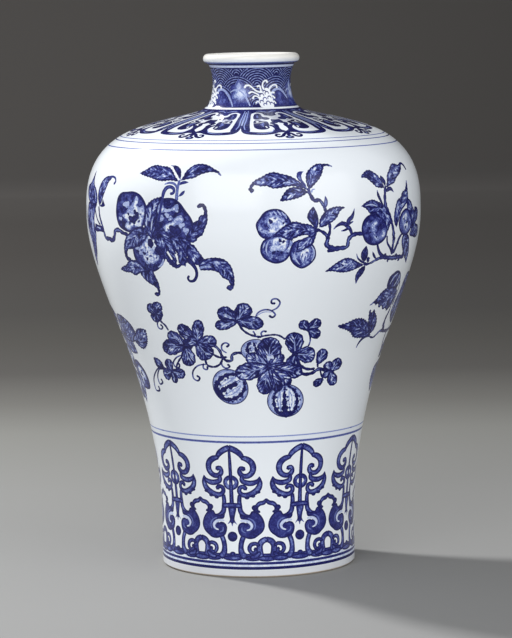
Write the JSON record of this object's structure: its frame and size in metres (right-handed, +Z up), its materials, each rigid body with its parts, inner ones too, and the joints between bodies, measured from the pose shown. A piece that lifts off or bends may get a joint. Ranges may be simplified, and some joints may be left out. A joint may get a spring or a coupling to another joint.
{
  "type": "meiping vase",
  "caption": "Tall porcelain bottle vase with high round shoulders, a short waisted neck and a rolled lip, painted in underglaze blue with fruiting sprays and ornamental borders.",
  "frame": {"origin": "centre of the foot ring's resting face", "axes": "+Z up along the axis the pot is turned on; the picture looks along +Y, with +X to its right"},
  "size_m": [0.2162, 0.2162, 0.3311],
  "materials": {
    "painted_porcelain": "clear bluish-white glaze over cobalt blue painting",
    "clay_slip": "fired porcelain slip"
  },
  "bodies": {
    "root": {"foot_section": "painted_porcelain", "lower_slip_joint": "clay_slip", "belly_section": "painted_porcelain", "upper_slip_joint": "clay_slip", "shoulder_section": "painted_porcelain", "neck_slip_joint": "clay_slip", "mouth_and_neck": "painted_porcelain"}
  },
  "joints": []
}
